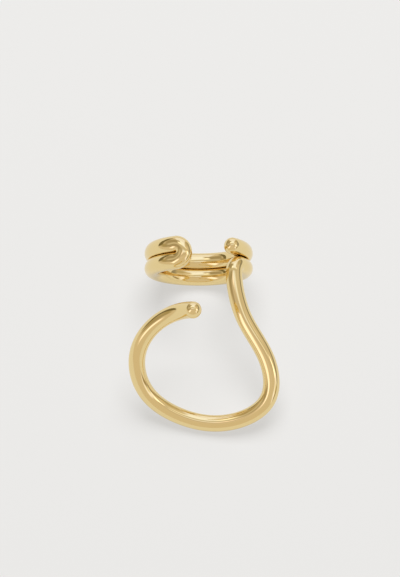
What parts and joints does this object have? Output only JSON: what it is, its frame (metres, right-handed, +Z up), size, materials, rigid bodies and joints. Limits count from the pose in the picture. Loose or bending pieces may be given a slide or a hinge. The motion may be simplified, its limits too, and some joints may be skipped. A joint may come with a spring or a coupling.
{
  "type": "cuff ring",
  "caption": "Open cuff ring bent from one round gold wire: a doubled-back coil with a hairpin, an S-bend and an open finger loop that climbs to a rounded end.",
  "frame": {"origin": "under the middle of the ring's box, on the surface that it lies on", "axes": "+Y from the finger loop at the front to the coil at the back, +X to the right of someone who looks along +Y, +Z up"},
  "size_m": [0.0235, 0.0309, 0.0215],
  "materials": {
    "gold": "mirror-polished pale yellow gold plating"
  },
  "bodies": {
    "root": {"ring_wire": "gold"}
  },
  "joints": []
}
